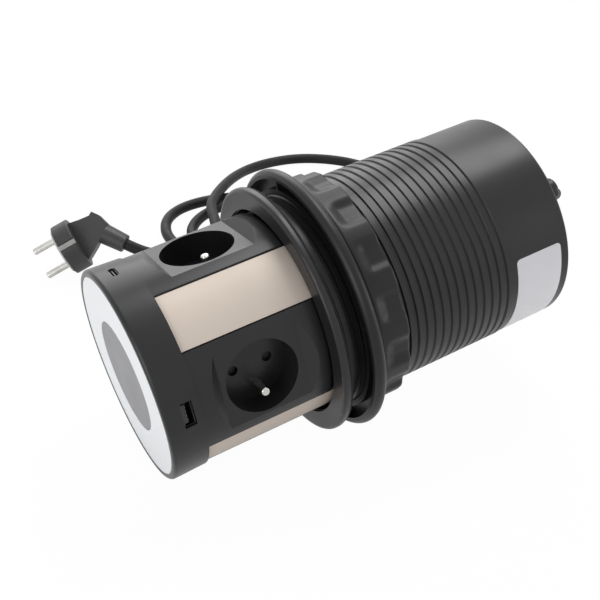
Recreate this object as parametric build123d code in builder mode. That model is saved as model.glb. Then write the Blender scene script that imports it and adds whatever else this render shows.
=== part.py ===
from build123d import *
import os
from math import asin, atan2, cos, hypot, pi, radians, sin, tan

os.makedirs("parts", exist_ok=True)

# A pop-up desk socket lying on a table with its tower pulled out. Millimetres and degrees.
# Stations run along the spindle from the head's front face to the base. Angles round the
# spindle start at the front socket, and a quarter turn is the socket that faces down.

# Shared clearances
body_gap = 0.3          # between pieces that move apart
seat_gap = 0.05         # between pieces seated in each other
overrun = 1.0           # how far a cut runs past the face that it leaves
weld = 0.35             # how far a lug runs into the wall that carries it

# Radii, each from the one inside it
tower_radius = 56.1
head_overhang = 0.8     # of the head's rear edge over the tower
head_draft = 0.6        # widening of the head towards its face
foot_overhang = 1.4     # of the tower's foot over the tower
bore_clearance = 0.35   # round the foot
tube_wall = 1.9         # from the bore to the thread's crests
sleeve_step = 0.55      # from the crests down to the plain sleeve
thread_clearance = 0.35  # between the crests and what turns on them
collar_clearance = 2.1  # round the tower
collar_overhang = 9.45  # of the collar over the thread
panel_inset = 0.6       # of the trim below the tower's radius
head_rear_radius = tower_radius + head_overhang
head_radius = head_rear_radius + head_draft
foot_radius = tower_radius + foot_overhang
bore_radius = foot_radius + bore_clearance
thread_radius = bore_radius + tube_wall
sleeve_radius = thread_radius - sleeve_step
clamp_bore_radius = thread_radius + thread_clearance
collar_radius = thread_radius + collar_overhang
collar_hole_radius = tower_radius + collar_clearance
panel_radius = tower_radius - panel_inset

# Head
head_depth = 19.1
head_rim_fillet = 2.0
shell_wall = 2.5
cap_rim = 3.5
pad_radius = 29.6
pad_gap = 0.3
cap_thickness = 2.2
cap_recess = 0.3
ledge_width = 1.6
wire_hole_radius = 9.0
charging_coil_radius = 21.5
charging_coil_bore = 10.0
charging_coil_thickness = 1.0
ferrite_radius = 23.0
ferrite_thickness = 1.0
board_thickness = 1.5
board_part_height = 3.0
board_part_length = 9.0
board_part_circle = 36.0
board_parts = 5
cap_ring_radius = head_radius - cap_rim

# USB sockets in the head's side
usb_a_width = 13.1
usb_a_height = 5.7
usb_a_depth = 14.0
usb_a_mouth_width = 12.2
usb_a_mouth_height = 4.7
usb_a_mouth_depth = 9.5
usb_a_tongue = 1.9
usb_a_tongue_inset = 2.2
usb_a_recess = 1.5
usb_c_station = 9.6
usb_c_angle = -88.0
usb_c_width = 9.0
usb_c_height = 3.3
usb_c_depth = 9.0
usb_c_mouth_depth = 6.0
usb_c_wall = 0.35
usb_c_tongue_width = 6.7
usb_c_tongue = 0.7
usb_c_recess = 0.3
usb_tongue_drop = 0.3
usb_surround = 0.25

# Tower with its sockets
socket_count = 4
module_gap = 0.1
module_length = 69.4
module_depth = 21.1
corner_room = 8.2       # left beside a socket for its neighbour
face_drop = 4.0         # of the flat face below the tower's radius
face_margin = 2.4       # from the recess to the face's front edge
face_margin_back = 3.4
ramp_length = 5.4
ramp_length_back = 6.5
recess_radius = 19.4
recess_depth = 15.0
pin_spacing = 19.0
pin_hole_radius = 2.7
earth_pin_radius = 2.4
earth_offset = 10.0
earth_tip_drop = 0.4
earth_tail = 5.0
chamber_half_width = 15.0
chamber_half_length = 21.0
chamber_wall = 1.5
chamber_depth = 16.5
module_start = head_depth + module_gap
module_end = module_start + module_length
module_back = tower_radius - module_depth
module_half_width = module_back - corner_room
socket_station = (module_start + module_end) / 2
face_height = tower_radius - face_drop
face_start = socket_station - recess_radius - face_margin
face_end = socket_station + recess_radius + face_margin_back
ramp_start = face_start - ramp_length
ramp_end = face_end + ramp_length_back
earth_root = module_back - earth_tail
chamber_back = module_back - chamber_depth

# Contacts and shutters
contact_tube_radius = 3.5
contact_bore_radius = 2.45
contact_clearance = 0.7
bus_overlap = 1.5       # of the ring over the sleeves' roots
bus_width = 4.5
bus_thickness = 1.6
shutter_clearance = 0.4
shutter_thickness = 1.6
shutter_travel = 5.5
shutter_wing_length = 8.2
shutter_hole_radius = 2.7
shutter_reach_low = 9.0
shutter_reach_high = 3.2
shutter_bridge_width = 2.6
shutter_front = module_back - shutter_clearance
contact_front = shutter_front - shutter_thickness - contact_clearance
bus_ring_radius = chamber_back + bus_overlap
bus_ring_bore = bus_ring_radius - bus_width

# Housing: the collar, the threaded tube and its stops
tower_sink = 0.3        # of the sockets' ends into the collar
collar_thickness = 4.2
collar_round = 2.0
collar_edge_round = 0.8
collar_lip = 2.0
seal_thickness = 1.2
seal_inset = 0.7
tube_length = 145.9
sleeve_length = 34.8
thread_pitch = 5.2
thread_depth = 0.9
thread_mouth = 2.2
thread_root = 0.9
thread_run_in = 3.0
thread_run_out = 2.6
stop_drop = 19.7
stop_length = 4.0
stop_width = 14.0
stop_clearance = 0.4
stop_count = 4
stop_angle = 45.0
base_ledge_thickness = 4.0
base_ledge_width = 15.2
collar_start = module_end - tower_sink
collar_end = collar_start + collar_thickness
seal_radius = collar_radius - seal_inset
tube_end = collar_start + tube_length
crest_end = tube_end - sleeve_length
thread_end = crest_end - thread_run_out
stop_start = collar_start + stop_drop
stop_radius = panel_radius + stop_clearance
ledge_bore = sleeve_radius - base_ledge_width

# Tower foot, which rests under the stops
foot_plate_clearance = 1.3
foot_plate_thickness = 3.5
foot_step = 4.3
foot_flange_thickness = 3.0
foot_flange_width = 5.0
foot_length = 28.7
foot_wall = 2.5
foot_hole_radius = 14.0
foot_screw_length = 13.0
friction_ring_drop = 11.7
friction_ring_width = 4.0
friction_ring_depth = 1.2
terminal_block_length = 12.0
terminal_block_width = 26.0
terminal_block_depth = 16.0
foot_plate_radius = stop_radius - foot_plate_clearance
foot_flange_station = stop_start + stop_length + body_gap
foot_flange_bore = foot_radius - foot_wall - foot_flange_width
foot_end = foot_flange_station + foot_length
friction_ring_start = foot_flange_station + friction_ring_drop

# Spine, panels and what they hold
spine_gap = 0.1
spine_wall = 2.5
rib_width = 8.0
post_radius = 4.3
panel_thickness = 1.8
panel_edge_gap = 0.5
panel_end_drop = 4.0
screw_radius = 1.5
screw_head_radius = 3.4
screw_head_height = 2.0
head_screw_length = 14.0
spine_half = module_back - spine_gap
spine_end = foot_flange_station - foot_step
post_circle = (spine_half - spine_wall - post_radius + weld) * 2**0.5
panel_end = spine_end - panel_end_drop

# Base
base_thickness = 3.3
base_round = 1.0
spigot_depth = 3.2
spigot_wall = 2.5
boss_count = 4
boss_angle = -33.0
boss_inset = 9.2
boss_radius = 6.5
boss_height = 6.0
boss_round = 2.0
boss_recess_depth = 3.0
boss_recess_radius = 3.7
label_margin = 3.6
label_margin_back = 2.2
label_angle = -5.0
label_sweep = 75.0
label_thickness = 0.15
label_round = 2.5
base_end = tube_end + base_thickness
boss_circle = sleeve_radius - boss_inset
label_start = crest_end + label_margin
label_end = tube_end - label_margin_back

# Cable gland in the base
gland_angle = 150.0
gland_circle = 27.0
gland_body_radius = 5.9
gland_flange_radius = 9.0
gland_flange_thickness = 3.5
gland_boot_length = 22.0
gland_boot_radius = 7.5
gland_tip_radius = 5.0
gland_thread_end = 2.4
gland_nut_radius = 9.5
gland_nut_thickness = 3.8
gland_inner_end = tube_end - gland_nut_thickness - gland_thread_end
gland_flange_end = base_end + gland_flange_thickness
gland_tip = gland_flange_end + gland_boot_length

# Clamp ring and nut on the thread
clamp_drop = 15.5       # of the bead below the collar
bead_round = 3.5
bead_half_sweep = 70.0
bead_overhang = 0.8
hub_wall = 2.9
hub_rise = 1.5
cup_width = 6.2
cup_drop = 3.5
cup_floor_thickness = 1.9
skirt_width = 5.9
cup_rib_count = 4
cup_rib_angle = -97.0
cup_rib_thickness = 1.8
nut_length = 17.6
nut_wall = 4.6
nut_back_round = 2.9
nut_lobe_count = 15
nut_grip_depth = 2.2
nut_grip_round = 24.0
nut_rim = 6.0
hub_radius = clamp_bore_radius + hub_wall
cup_radius = hub_radius + cup_width
bead_circle = cup_radius + bead_overhang
skirt_end_radius = clamp_bore_radius + skirt_width
bead_station = collar_end + clamp_drop
hub_start = bead_station - hub_rise
cup_floor = bead_station + cup_drop
clamp_end = cup_floor + cup_floor_thickness
nut_start = clamp_end + body_gap
nut_end = nut_start + nut_length
nut_radius = clamp_bore_radius + nut_wall

# Cord, from the gland's tip to the plug's boot, by its corners: X from the head's front
cord_radius = 4.1
lead_radius = 3.3
lead_turns = 3
cord_first_run = 23.5
cord_route = [
    (306.7, 31.6, 79.1), (321.0, 51.3, 67.0), (318.7, 80.2, 46.0), (306.2, 103.9, 28.6),
    (289.9, 124.3, 17.4), (272.8, 141.7, 13.3), (255.8, 157.8, 13.1), (240.2, 176.2, 13.7),
    (229.8, 197.3, 13.8), (222.7, 221.0, 13.2), (212.5, 242.7, 11.4), (194.1, 258.1, 8.2),
    (171.0, 261.7, 5.3), (148.4, 252.5, 4.1), (133.1, 233.2, 4.1), (130.0, 210.4, 4.1),
    (139.0, 189.2, 4.1), (157.5, 175.5, 4.1), (184.0, 172.3, 4.1), (208.2, 178.3, 4.1),
    (227.7, 193.4, 4.1), (236.5, 215.9, 4.1), (232.1, 239.8, 4.1), (216.2, 260.0, 4.1),
    (194.2, 273.5, 4.1), (168.9, 279.7, 4.1), (144.5, 276.7, 4.1), (125.9, 262.8, 4.1),
    (116.0, 240.2, 4.1), (115.2, 215.8, 4.1), (124.1, 190.3, 4.1), (145.0, 168.2, 4.1),
    (173.9, 155.2, 4.1), (205.0, 150.9, 4.1), (236.1, 153.9, 4.1), (265.6, 165.1, 4.1),
    (291.6, 184.4, 4.1), (310.7, 208.3, 4.1), (320.8, 235.0, 4.1), (321.2, 262.0, 4.1),
    (312.9, 286.9, 4.1), (298.2, 306.3, 4.1), (275.9, 321.4, 4.1), (250.0, 325.3, 4.2),
    (224.2, 316.8, 6.2), (201.7, 298.8, 10.4), (183.8, 280.6, 13.1), (168.2, 263.2, 14.2),
    (155.4, 244.3, 15.8), (146.0, 209.2, 15.2), (133.4, 195.7, 13.2), (116.0, 189.4, 12.8),
    (98.5, 190.9, 12.8), (84.1, 198.3, 14.3),
]
cord_split = 8          # the corner after which the loops begin
cord_bend = 0.45        # of the shorter run beside a corner, taken up by its arc
gap_step = 1.5          # between the points on which the loops' gap is measured
gap_skip = 60.0         # along the cord, below which two points count as neighbours

# Plug: the grip's outline lies in the pins' plane, in shares of the plug's radius,
# as depth behind the face and shift along the line from pin to pin
pin_radius = 2.4
pin_length = 19.0
pin_root = 8.0
plug_radius = 18.5
plug_depth = 12.5
plug_notch_width = 4.4
plug_notch_depth = 2.2
plug_clip_width = 3.4
plug_clip_thickness = 0.8
plug_insert_radius = 16.0
plug_insert_thickness = 1.2
plug_edge_round = 1.0
grip_outer_shares = [
    (0.541, -0.838), (0.654, -0.795), (1.097, -0.703), (1.514, -0.654), (1.670, -0.741),
    (1.854, -0.486),
]
grip_seat_shares = [(1.978, -0.031), (1.319, 0.414)]
grip_inner_shares = [(1.162, 0.524), (0.741, 0.757), (0.541, 0.811)]
grip_core_half = 5.5
grip_bevel = 4.5
grip_bevel_angle = 45.0
boot_spigot_radius = 5.0
boot_spigot_length = 6.0
boot_radius = 7.3
boot_end_radius = 6.5
boot_length = 17.0
boot_edge_round = 1.2
plug_place = (34.0, 225.4)
plug_heading = 169.1    # of the pins, from +X towards +Y
plug_dip = 24.8         # of the pins, below level
plug_turn = 55.3        # of the pins' plane, from level

# How it lies: on the head's rim and the clamp ring's bead
roll_angle = 7.1
lever = bead_station - head_rim_fillet
rise = bead_circle - (head_radius - head_rim_fillet)
tilt = atan2(rise, lever) + asin((bead_round - head_rim_fillet) / hypot(lever, rise))
axis_way = Vector(cos(tilt), 0, sin(tilt))
up_way = Vector(-sin(tilt), 0, cos(tilt))
roll = radians(roll_angle)
front_way = Vector(0, -1, 0) * cos(roll) + up_way * sin(roll)
head_height = (head_radius - head_rim_fillet) * cos(tilt) + head_rim_fillet * (1 - sin(tilt))
low_end = head_rim_fillet * (cos(tilt) - 1) - (head_radius - head_rim_fillet) * sin(tilt)
boss_low = max(sin(radians(boss_angle + 360 / boss_count * turn) - roll) for turn in range(boss_count))
boss_top = base_end + boss_height - boss_round
boss_end = boss_top * cos(tilt) + boss_round
boss_end += (boss_circle * boss_low + boss_radius - boss_round) * sin(tilt)
gland_low = gland_circle * sin(radians(gland_angle) - roll) + gland_tip_radius
gland_end = gland_tip * cos(tilt) + gland_low * sin(tilt)
high_end = max(boss_end, gland_end)
head_x = -(low_end + high_end) / 2
unit = Plane(origin=(head_x, 0, head_height), x_dir=front_way, z_dir=axis_way)
spindle = Axis(unit.origin, unit.z_dir)


def way_out(angle):
    return unit.x_dir * cos(radians(angle)) + unit.y_dir * sin(radians(angle))


def facing(angle, height, at):
    """A plane that looks out from the spindle, with its X along it, towards the base."""
    out = way_out(angle)
    place = unit.origin + unit.z_dir * at + out * height
    return Plane(origin=place, x_dir=unit.z_dir, z_dir=out)


def beside(angle, radius, at):
    """A plane across the spindle, centred to one side of it."""
    place = unit.origin + unit.z_dir * at + way_out(angle) * radius
    return Plane(origin=place, x_dir=way_out(angle), z_dir=unit.z_dir)


def tube(start, end, outer, inner=0, about=unit, mode=Mode.ADD):
    with BuildSketch(about.offset(start)) as ring:
        Circle(outer)
        if inner:
            Circle(inner, mode=Mode.SUBTRACT)
    extrude(ring.sketch, amount=end - start, mode=mode)


def turned(*outline, about=unit, mode=Mode.ADD):
    """Turns an outline of (station, radius) points."""
    with BuildSketch(Plane(origin=about.origin, x_dir=about.z_dir, z_dir=about.y_dir)) as half:
        with BuildLine():
            Polyline(*outline, close=True)
        make_face()
    revolve(half.sketch, axis=Axis(about.origin, about.z_dir), mode=mode)


def studs(start, end, radius, circle, count, angle, mode=Mode.ADD):
    """Round posts or holes along the spindle, spread round it."""
    with BuildSketch(unit.offset(start)) as spots:
        with PolarLocations(circle, count, start_angle=angle):
            Circle(radius)
    extrude(spots.sketch, amount=end - start, mode=mode)


def keep(piece, name):
    piece.part.label = name
    export_step(piece.part, f"parts/{name}.step")


quarter = 360 / socket_count
ring_face = cap_recess
ring_back = cap_recess + cap_thickness
ledge_back = ring_back + charging_coil_thickness + ferrite_thickness
plate_face = head_depth - shell_wall
usb_board_face = plate_face - board_thickness
usb_a_station = usb_board_face - usb_a_height / 2
posts = (post_circle, socket_count, stop_angle)
bosses = (boss_circle, boss_count, boss_angle)

# Head shell
with BuildPart() as head_shell:
    turned(
        (0, cap_ring_radius + seat_gap),
        (0, head_radius),
        (head_depth, head_rear_radius),
        (head_depth, wire_hole_radius),
        (plate_face, wire_hole_radius),
        (plate_face, head_rear_radius - shell_wall),
        (ledge_back, head_rear_radius - shell_wall),
        (ledge_back, cap_ring_radius - ledge_width),
        (ring_back, cap_ring_radius - ledge_width),
        (ring_back, cap_ring_radius + seat_gap),
    )
    rings = head_shell.edges().filter_by(GeomType.CIRCLE)
    fillet(rings.sort_by(SortBy.RADIUS)[-1], head_rim_fillet)
    with BuildSketch(facing(0, head_radius + overrun, usb_a_station)):
        Rectangle(usb_a_height + 2 * usb_surround, usb_a_width + 2 * usb_surround)
    extrude(amount=-2 * shell_wall - overrun, mode=Mode.SUBTRACT)
    with BuildSketch(facing(usb_c_angle, head_radius + overrun, usb_c_station)):
        SlotOverall(
            usb_c_width + 2 * usb_surround, usb_c_height + 2 * usb_surround, rotation=90
        )
    extrude(amount=-2 * shell_wall - overrun, mode=Mode.SUBTRACT)
    studs(plate_face, head_depth, screw_radius, *posts, mode=Mode.SUBTRACT)
keep(head_shell, "head_shell")

with BuildPart() as cap_ring:
    tube(ring_face, ring_back, cap_ring_radius, pad_radius + pad_gap)
keep(cap_ring, "cap_ring")

with BuildPart() as charge_pad:
    tube(ring_face, ring_back, pad_radius)
keep(charge_pad, "charge_pad")

coil_back = ring_back + charging_coil_thickness
with BuildPart() as charging_coil:
    tube(ring_back, coil_back, charging_coil_radius, charging_coil_bore)
keep(charging_coil, "charging_coil")

with BuildPart() as ferrite_disc:
    tube(coil_back, ledge_back, ferrite_radius)
keep(ferrite_disc, "ferrite_disc")

charger_board_back = ledge_back + board_thickness
with BuildPart() as charger_board:
    tube(ledge_back, charger_board_back, head_rear_radius - shell_wall - seat_gap)
    with BuildSketch(unit.offset(charger_board_back)):
        with PolarLocations(board_part_circle, board_parts, start_angle=stop_angle):
            Rectangle(board_part_length, board_part_length)
    extrude(amount=board_part_height)
keep(charger_board, "charger_board")

with BuildPart() as usb_board:
    tube(usb_board_face, plate_face, head_rear_radius - shell_wall - seat_gap, wire_hole_radius)
    studs(usb_board_face, plate_face, screw_head_radius + seat_gap, *posts, mode=Mode.SUBTRACT)
keep(usb_board, "usb_board")

usb_a_face = head_rear_radius - usb_a_recess
with BuildPart() as usb_a_port:
    with BuildSketch(facing(0, usb_a_face, usb_a_station)):
        Rectangle(usb_a_height, usb_a_width)
    extrude(amount=-usb_a_depth)
    with BuildSketch(facing(0, usb_a_face, usb_a_station)):
        Rectangle(usb_a_mouth_height, usb_a_mouth_width)
    extrude(amount=-usb_a_mouth_depth, mode=Mode.SUBTRACT)
    tongue_shift = (usb_a_tongue - usb_a_mouth_height) / 2
    with BuildSketch(facing(0, usb_a_face - usb_tongue_drop, usb_a_station + tongue_shift)):
        Rectangle(usb_a_tongue, usb_a_mouth_width - usb_a_tongue_inset)
    extrude(amount=usb_tongue_drop - usb_a_mouth_depth)
keep(usb_a_port, "usb_a_port")

usb_c_face = head_rear_radius - usb_c_recess
with BuildPart() as usb_c_port:
    with BuildSketch(facing(usb_c_angle, usb_c_face, usb_c_station)):
        SlotOverall(usb_c_width, usb_c_height, rotation=90)
    extrude(amount=-usb_c_depth)
    riser = usb_board_face - usb_c_station
    riser_face = head_rear_radius - shell_wall - body_gap
    with BuildSketch(facing(usb_c_angle, riser_face, usb_c_station + riser / 2)):
        Rectangle(riser, usb_c_width - usb_c_height)
    extrude(amount=usb_c_face - usb_c_depth - riser_face)
    with BuildSketch(facing(usb_c_angle, usb_c_face, usb_c_station)):
        SlotOverall(usb_c_width - 2 * usb_c_wall, usb_c_height - 2 * usb_c_wall, rotation=90)
    extrude(amount=-usb_c_mouth_depth, mode=Mode.SUBTRACT)
    with BuildSketch(facing(usb_c_angle, usb_c_face - usb_tongue_drop, usb_c_station)):
        Rectangle(usb_c_tongue, usb_c_tongue_width)
    extrude(amount=usb_tongue_drop - usb_c_mouth_depth)
keep(usb_c_port, "usb_c_port")

with BuildPart() as head_screws:
    studs(plate_face - screw_head_height, plate_face, screw_head_radius, *posts)
    studs(plate_face, plate_face + head_screw_length, screw_radius, *posts)
keep(head_screws, "head_screws")

# Spine of the tower: a square tube with windows for the contact chambers
with BuildPart() as tower_spine:
    with BuildSketch(unit.offset(head_depth)):
        Rectangle(2 * spine_half, 2 * spine_half)
        Rectangle(2 * (spine_half - spine_wall), 2 * (spine_half - spine_wall), mode=Mode.SUBTRACT)
        with PolarLocations(post_circle, socket_count, start_angle=stop_angle):
            Circle(post_radius)
            Circle(screw_radius, mode=Mode.SUBTRACT)
        rib_start = spine_half * 2**0.5 - rib_width / 2
        rib_end = ((panel_radius - panel_thickness) ** 2 - rib_width**2 / 4) ** 0.5 - seat_gap
        with PolarLocations((rib_start + rib_end) / 2, socket_count, start_angle=stop_angle):
            Rectangle(rib_end - rib_start, rib_width)
    extrude(amount=spine_end - head_depth)
    for side in range(socket_count):
        with BuildSketch(facing(side * quarter, spine_half + overrun, socket_station)):
            Rectangle(
                2 * (chamber_half_length + body_gap), 2 * (chamber_half_width + body_gap)
            )
        extrude(amount=-spine_wall - 2 * overrun, mode=Mode.SUBTRACT)
keep(tower_spine, "tower_spine")


def socket_body(angle):
    """One socket: its face, its round recess and the chamber for its contacts."""
    with BuildPart() as body:
        with BuildSketch(unit.offset(module_start)):
            Circle(tower_radius)
            with Locations(way_flat(angle, module_back / 2 - tower_radius / 2)):
                Rectangle(
                    module_back + tower_radius,
                    4 * tower_radius,
                    rotation=angle,
                    mode=Mode.SUBTRACT,
                )
            with Locations(way_flat(angle, tower_radius)):
                Rectangle(
                    4 * tower_radius,
                    2 * module_half_width,
                    rotation=angle,
                    mode=Mode.INTERSECT,
                )
        extrude(amount=module_end - module_start)
        side_on = Plane(origin=unit.origin, x_dir=unit.z_dir, z_dir=way_out(angle + 90))
        with BuildSketch(side_on):
            with BuildLine():
                Polyline(
                    (ramp_start, tower_radius + seat_gap),
                    (face_start, face_height),
                    (face_end, face_height),
                    (ramp_end, tower_radius + seat_gap),
                    (ramp_end, tower_radius + overrun),
                    (ramp_start, tower_radius + overrun),
                    close=True,
                )
            make_face()
        extrude(amount=tower_radius, both=True, mode=Mode.SUBTRACT)
        with BuildSketch(facing(angle, module_back + seat_gap, socket_station)):
            Rectangle(2 * chamber_half_length, 2 * chamber_half_width)
            Rectangle(
                2 * (chamber_half_length - chamber_wall),
                2 * (chamber_half_width - chamber_wall),
                mode=Mode.SUBTRACT,
            )
        extrude(amount=chamber_back - module_back - seat_gap)
        with BuildSketch(facing(angle, face_height, socket_station)):
            Circle(recess_radius)
        extrude(amount=-recess_depth, mode=Mode.SUBTRACT)
        with BuildSketch(facing(angle, face_height - recess_depth, socket_station)):
            with GridLocations(pin_spacing, 0, 2, 1):
                Circle(pin_hole_radius)
            with Locations((0, -earth_offset)):
                Circle(earth_pin_radius)
        extrude(amount=module_back - face_height + recess_depth - overrun, mode=Mode.SUBTRACT)
    return body


def way_flat(angle, distance):
    return (distance * cos(radians(angle)), distance * sin(radians(angle)))


def shutter(angle):
    """The sliding shutter behind a socket's floor: two wings and the bridge that joins them."""
    middle = (shutter_reach_high - shutter_reach_low) / 2
    with BuildPart() as plate:
        with BuildSketch(facing(angle, shutter_front, socket_station)):
            with GridLocations(pin_spacing, 0, 2, 1):
                with Locations((0, middle)):
                    Rectangle(shutter_wing_length, shutter_reach_high + shutter_reach_low)
            with Locations((0, shutter_reach_high - shutter_bridge_width / 2)):
                Rectangle(pin_spacing, shutter_bridge_width)
            with GridLocations(pin_spacing, 0, 2, 1):
                with Locations((0, -shutter_travel)):
                    Circle(shutter_hole_radius, mode=Mode.SUBTRACT)
        extrude(amount=-shutter_thickness)
    return plate


sides = {"front": 0, "top": -quarter, "rear": 2 * quarter, "bottom": quarter}
for side, angle in sides.items():
    keep(socket_body(angle), f"socket_{side}")
    keep(shutter(angle), f"shutter_{side}")

with BuildPart() as earth_pins:
    for angle in sides.values():
        with BuildSketch(facing(angle, earth_root, socket_station)):
            with Locations((0, -earth_offset)):
                Circle(earth_pin_radius)
        extrude(amount=face_height - earth_tip_drop - earth_root)
    tips = earth_pins.edges().group_by(lambda edge: round((edge.center() - unit.origin).length))
    fillet(tips[-1], earth_pin_radius / 2)
keep(earth_pins, "earth_pins")


def bus(station):
    """A ring round the spindle that joins the contacts of all the sockets."""
    tube(station - bus_thickness / 2, station + bus_thickness / 2, bus_ring_radius, bus_ring_bore)


def contact_bus(station):
    with BuildPart() as rail:
        bus(station)
        for angle in sides.values():
            with BuildSketch(facing(angle, chamber_back, station)):
                Circle(contact_tube_radius)
            extrude(amount=contact_front - chamber_back)
        for angle in sides.values():
            with BuildSketch(facing(angle, bus_ring_radius + bus_thickness, station)):
                Circle(contact_bore_radius)
            extrude(amount=contact_front - bus_ring_radius, mode=Mode.SUBTRACT)
    return rail


keep(contact_bus(socket_station - pin_spacing / 2), "live_bus")
keep(contact_bus(socket_station + pin_spacing / 2), "neutral_bus")

with BuildPart() as earth_bus:
    bus(socket_station)
    arm_start = (bus_ring_radius + bus_ring_bore) / 2 * cos(asin(earth_offset / bus_ring_radius))
    for angle in sides.values():
        with BuildSketch(facing(angle, arm_start, socket_station)):
            with Locations((0, -earth_offset)):
                Rectangle(bus_thickness, 2 * earth_pin_radius)
        extrude(amount=earth_root - arm_start)
keep(earth_bus, "earth_bus")

# Metal trim between the sockets, with edges that run beside theirs
panel_side = module_half_width + panel_edge_gap
for turn in range(socket_count):
    corner = turn * quarter + stop_angle
    with BuildPart() as panel:
        with BuildSketch(unit.offset(module_start)):
            Circle(panel_radius)
            Circle(panel_radius - panel_thickness, mode=Mode.SUBTRACT)
            with Locations(way_flat(corner, panel_side * 2**0.5)):
                Rectangle(
                    panel_radius,
                    panel_radius,
                    rotation=turn * quarter,
                    align=(Align.MIN, Align.MIN),
                    mode=Mode.INTERSECT,
                )
        extrude(amount=panel_end - module_start)
    keep(panel, f"panel_{turn + 1}")

# Foot of the tower, which runs in the housing
foot_plate_back = spine_end + foot_plate_thickness
with BuildPart() as tower_foot:
    turned(
        (spine_end, foot_hole_radius),
        (spine_end, foot_plate_radius),
        (foot_flange_station, foot_plate_radius),
        (foot_flange_station, foot_radius),
        (foot_end, foot_radius),
        (foot_end, foot_radius - foot_wall),
        (foot_flange_station + foot_flange_thickness, foot_radius - foot_wall),
        (foot_flange_station + foot_flange_thickness, foot_flange_bore),
        (foot_plate_back, foot_flange_bore),
        (foot_plate_back, foot_hole_radius),
    )
    groove_end = friction_ring_start + friction_ring_width
    groove_floor = foot_radius - friction_ring_depth
    tube(friction_ring_start, groove_end, foot_radius + overrun, groove_floor, mode=Mode.SUBTRACT)
    studs(spine_end, foot_plate_back, screw_radius, *posts, mode=Mode.SUBTRACT)
keep(tower_foot, "tower_foot")

with BuildPart() as friction_ring:
    tube(
        friction_ring_start + seat_gap,
        groove_end - seat_gap,
        bore_radius - seat_gap,
        groove_floor + seat_gap,
    )
keep(friction_ring, "friction_ring")

with BuildPart() as foot_screws:
    studs(foot_plate_back, foot_plate_back + screw_head_height, screw_head_radius, *posts)
    studs(foot_plate_back - foot_screw_length, foot_plate_back, screw_radius, *posts)
keep(foot_screws, "foot_screws")

with BuildPart() as terminal_block:
    with BuildSketch(beside(gland_angle, gland_circle, foot_plate_back)):
        Rectangle(terminal_block_depth, terminal_block_width)
    extrude(amount=terminal_block_length)
keep(terminal_block, "terminal_block")

# Housing tube with its thread
groove_start = collar_end + thread_run_in
with BuildPart() as thread_groove:
    with BuildLine():
        turns = Helix(
            thread_pitch,
            thread_end - groove_start,
            thread_radius,
            center=unit.offset(groove_start).origin,
            direction=unit.z_dir,
        )
    start_way = (turns @ 0 - unit.offset(groove_start).origin).normalized()
    with BuildSketch(Plane(origin=turns @ 0, x_dir=start_way, z_dir=turns % 0)):
        with BuildLine():
            Polyline(
                (thread_depth, thread_root / 2 - thread_mouth),
                (thread_depth, thread_mouth - thread_root / 2),
                (-thread_depth, thread_root / 2),
                (-thread_depth, -thread_root / 2),
                close=True,
            )
        make_face()
    sweep(path=turns, is_frenet=True)

with BuildPart() as outer_tube:
    turned(
        (collar_start + collar_lip, bore_radius),
        (collar_start + collar_lip, thread_radius),
        (crest_end, thread_radius),
        (crest_end, sleeve_radius),
        (tube_end, sleeve_radius),
        (tube_end, ledge_bore),
        (tube_end - base_ledge_thickness, ledge_bore),
        (tube_end - base_ledge_thickness, bore_radius),
    )
    with BuildSketch(unit.offset(stop_start)):
        stop_depth = bore_radius + weld - stop_radius
        with PolarLocations(stop_radius + stop_depth / 2, stop_count, start_angle=stop_angle):
            Rectangle(stop_depth, stop_width)
    extrude(amount=stop_length)
    studs(tube_end - base_ledge_thickness, tube_end, screw_radius, *bosses, mode=Mode.SUBTRACT)
    add(thread_groove.part, mode=Mode.SUBTRACT)
keep(outer_tube, "outer_tube")

with BuildPart() as desk_collar:
    turned(
        (collar_start, collar_hole_radius),
        (collar_start, collar_radius),
        (collar_end, collar_radius),
        (collar_end, thread_radius + seat_gap),
        (collar_start + collar_lip, thread_radius + seat_gap),
        (collar_start + collar_lip, collar_hole_radius),
    )
    rims = desk_collar.edges().filter_by(GeomType.CIRCLE).group_by(SortBy.RADIUS)[-1]
    fillet(rims.sort_by(spindle)[0], collar_round)
    rims = desk_collar.edges().filter_by(GeomType.CIRCLE).group_by(SortBy.RADIUS)[-1]
    fillet(rims.sort_by(spindle)[-1], collar_edge_round)
keep(desk_collar, "desk_collar")

with BuildPart() as collar_seal:
    tube(collar_end, collar_end + seal_thickness, seal_radius, thread_radius + seat_gap)
keep(collar_seal, "collar_seal")

# Base cap with its screw bosses
with BuildPart() as base_cap:
    tube(tube_end, base_end, sleeve_radius)
    fillet(base_cap.edges().sort_by(spindle)[-1], base_round)
    spigot_radius = ledge_bore - seat_gap
    tube(tube_end - spigot_depth, tube_end, spigot_radius, spigot_radius - spigot_wall)
    studs(base_end, base_end + boss_height, boss_radius, *bosses)
    fillet(base_cap.edges().group_by(spindle)[-1], boss_round)
    boss_recess_floor = base_end + boss_height - boss_recess_depth
    boss_mouth = base_end + boss_height + overrun
    studs(boss_recess_floor, boss_mouth, boss_recess_radius, *bosses, mode=Mode.SUBTRACT)
    studs(tube_end, boss_mouth, screw_radius, *bosses, mode=Mode.SUBTRACT)
    gland_spot = (gland_circle, 1, gland_angle)
    studs(tube_end, base_end, gland_body_radius, *gland_spot, mode=Mode.SUBTRACT)
keep(base_cap, "base_cap")

with BuildPart() as base_screws:
    studs(boss_recess_floor, boss_recess_floor + screw_head_height, screw_head_radius, *bosses)
    studs(tube_end - base_ledge_thickness, boss_recess_floor, screw_radius, *bosses)
keep(base_screws, "base_screws")

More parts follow.
